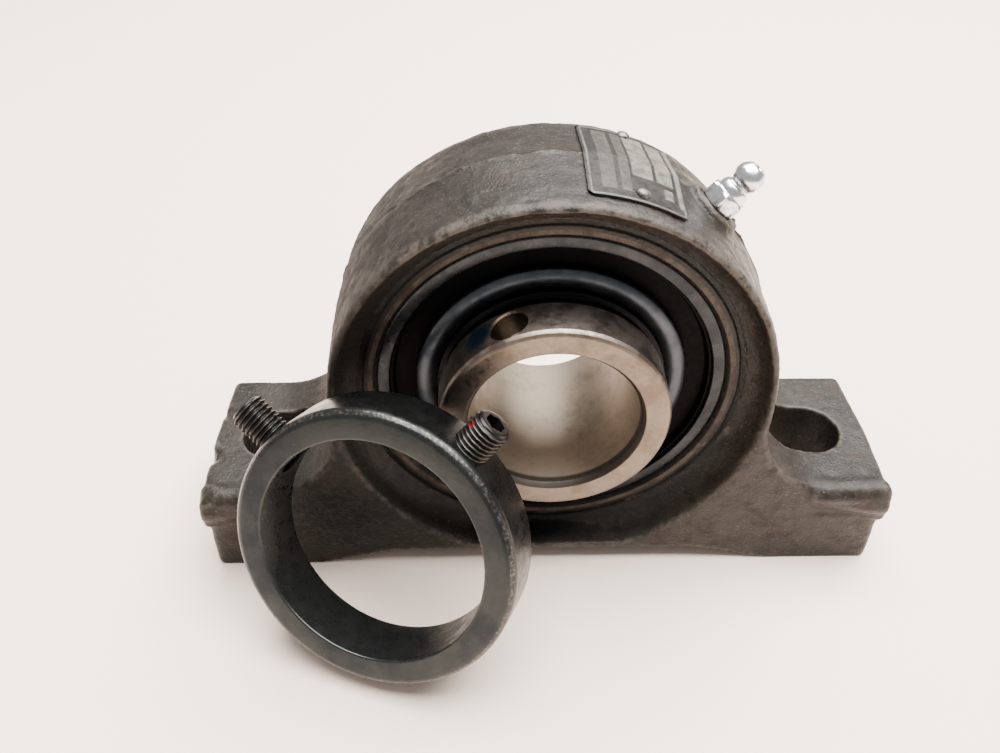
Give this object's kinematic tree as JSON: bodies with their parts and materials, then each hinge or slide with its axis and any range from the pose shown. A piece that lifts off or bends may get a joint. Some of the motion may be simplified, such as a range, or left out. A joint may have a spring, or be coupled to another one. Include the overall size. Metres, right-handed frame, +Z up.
{
  "type": "pillow block bearing",
  "caption": "Cast-iron pillow block with a self-aligning ball bearing insert and angled grease fitting, its screw-locked collar left off and leaning against the front.",
  "frame": {"origin": "centre of the base plane, midway between the two bolt slots and under the bore centre", "axes": "+X along the base, +Y along the shaft away from the loose collar, +Z up"},
  "size_m": [0.1618, 0.0807, 0.0993],
  "materials": {
    "cast_iron": "rough sand-cast, oiled and lightly rusted",
    "nameplate": "etched plate, satin",
    "drive_screw": "dull steel",
    "zinc": "bright zinc plate",
    "spring_steel": "drawn wire",
    "bearing_steel": "ground, faint stains",
    "outer_steel": "ground, oiled dark",
    "ball_steel": "polished",
    "pressed_steel": "pressed sheet",
    "seal_black": "black, satin",
    "rubber": "moulded",
    "flinger_steel": "blue-black gloss",
    "black_oxide": "black oxide, worn bright at the edges"
  },
  "bodies": {
    "housing": {"housing": "cast_iron", "nameplate": "nameplate", "nameplate_rivets": "drive_screw", "grease_fitting_body": "zinc", "collar": "black_oxide"},
    "fitting_check": {"grease_fitting_ball": "ball_steel", "grease_fitting_spring": "spring_steel"},
    "outer_ring": {"outer_ring": "outer_steel", "front_seal_shell": "seal_black", "front_seal_lip": "rubber", "rear_seal_shell": "seal_black", "rear_seal_lip": "rubber"},
    "inner_ring": {"inner_ring": "bearing_steel", "front_flinger": "flinger_steel", "rear_flinger": "flinger_steel"},
    "cage": {"cage_front_half": "pressed_steel", "cage_rear_half": "pressed_steel", "cage_rivets": "pressed_steel"},
    "set_screw_left": {"set_screw_left": "black_oxide"},
    "set_screw_right": {"set_screw_right": "black_oxide"},
    "ball_1": {"ball_1": "ball_steel"},
    "ball_2": {"ball_2": "ball_steel"},
    "ball_3": {"ball_3": "ball_steel"},
    "ball_4": {"ball_4": "ball_steel"},
    "ball_5": {"ball_5": "ball_steel"},
    "ball_6": {"ball_6": "ball_steel"},
    "ball_7": {"ball_7": "ball_steel"},
    "ball_8": {"ball_8": "ball_steel"},
    "ball_9": {"ball_9": "ball_steel"}
  },
  "joints": [
    {"name": "insert_tilt", "type": "hinge", "parent": "housing", "child": "outer_ring", "pos_m": [0, 0, 0.0492], "axis": [1, 0, 0], "range_deg": [-2, 2]},
    {"name": "inner_ring_spin", "type": "hinge", "parent": "outer_ring", "child": "inner_ring", "pos_m": [0, 0, 0.0492], "axis": [0, 1, 0], "continuous": true},
    {"name": "cage_orbit", "type": "hinge", "parent": "outer_ring", "child": "cage", "pos_m": [0, 0, 0.0492], "axis": [0, 1, 0], "continuous": true},
    {"name": "ball_1_spin", "type": "hinge", "parent": "cage", "child": "ball_1", "pos_m": [0, 0, 0.0792], "axis": [0, 1, 0], "continuous": true},
    {"name": "ball_2_spin", "type": "hinge", "parent": "cage", "child": "ball_2", "pos_m": [-0.01928, 0, 0.07218], "axis": [0, 1, 0], "continuous": true},
    {"name": "ball_3_spin", "type": "hinge", "parent": "cage", "child": "ball_3", "pos_m": [-0.02954, 0, 0.05441], "axis": [0, 1, 0], "continuous": true},
    {"name": "ball_4_spin", "type": "hinge", "parent": "cage", "child": "ball_4", "pos_m": [-0.02598, 0, 0.0342], "axis": [0, 1, 0], "continuous": true},
    {"name": "ball_5_spin", "type": "hinge", "parent": "cage", "child": "ball_5", "pos_m": [-0.01026, 0, 0.02101], "axis": [0, 1, 0], "continuous": true},
    {"name": "ball_6_spin", "type": "hinge", "parent": "cage", "child": "ball_6", "pos_m": [0.01026, 0, 0.02101], "axis": [0, 1, 0], "continuous": true},
    {"name": "ball_7_spin", "type": "hinge", "parent": "cage", "child": "ball_7", "pos_m": [0.02598, 0, 0.0342], "axis": [0, 1, 0], "continuous": true},
    {"name": "ball_8_spin", "type": "hinge", "parent": "cage", "child": "ball_8", "pos_m": [0.02954, 0, 0.05441], "axis": [0, 1, 0], "continuous": true},
    {"name": "ball_9_spin", "type": "hinge", "parent": "cage", "child": "ball_9", "pos_m": [0.01928, 0, 0.07218], "axis": [0, 1, 0], "continuous": true},
    {"name": "check_ball_push", "type": "slide", "parent": "housing", "child": "fitting_check", "axis": [-0.6561, 0, -0.7547], "range_m": [0, 0.0005], "stiffness_N_per_m": 300, "springref_m": -0.001},
    {"name": "set_screw_left_travel", "type": "slide", "parent": "housing", "child": "set_screw_left", "axis": [-0.7158, 0.4703, 0.5162], "range_m": [-0.0075, 0.0015]},
    {"name": "set_screw_right_travel", "type": "slide", "parent": "housing", "child": "set_screw_right", "axis": [0.6198, 0.0875, 0.7798], "range_m": [-0.0075, 0.0015]}
  ],
  "couplings": [
    {"joint": "cage_orbit", "follows": "inner_ring_spin", "ratio": 0.39417},
    {"joint": "ball_1_spin", "follows": "inner_ring_spin", "ratio": -2.2564},
    {"joint": "ball_2_spin", "follows": "inner_ring_spin", "ratio": -2.2564},
    {"joint": "ball_3_spin", "follows": "inner_ring_spin", "ratio": -2.2564},
    {"joint": "ball_4_spin", "follows": "inner_ring_spin", "ratio": -2.2564},
    {"joint": "ball_5_spin", "follows": "inner_ring_spin", "ratio": -2.2564},
    {"joint": "ball_6_spin", "follows": "inner_ring_spin", "ratio": -2.2564},
    {"joint": "ball_7_spin", "follows": "inner_ring_spin", "ratio": -2.2564},
    {"joint": "ball_8_spin", "follows": "inner_ring_spin", "ratio": -2.2564},
    {"joint": "ball_9_spin", "follows": "inner_ring_spin", "ratio": -2.2564}
  ]
}
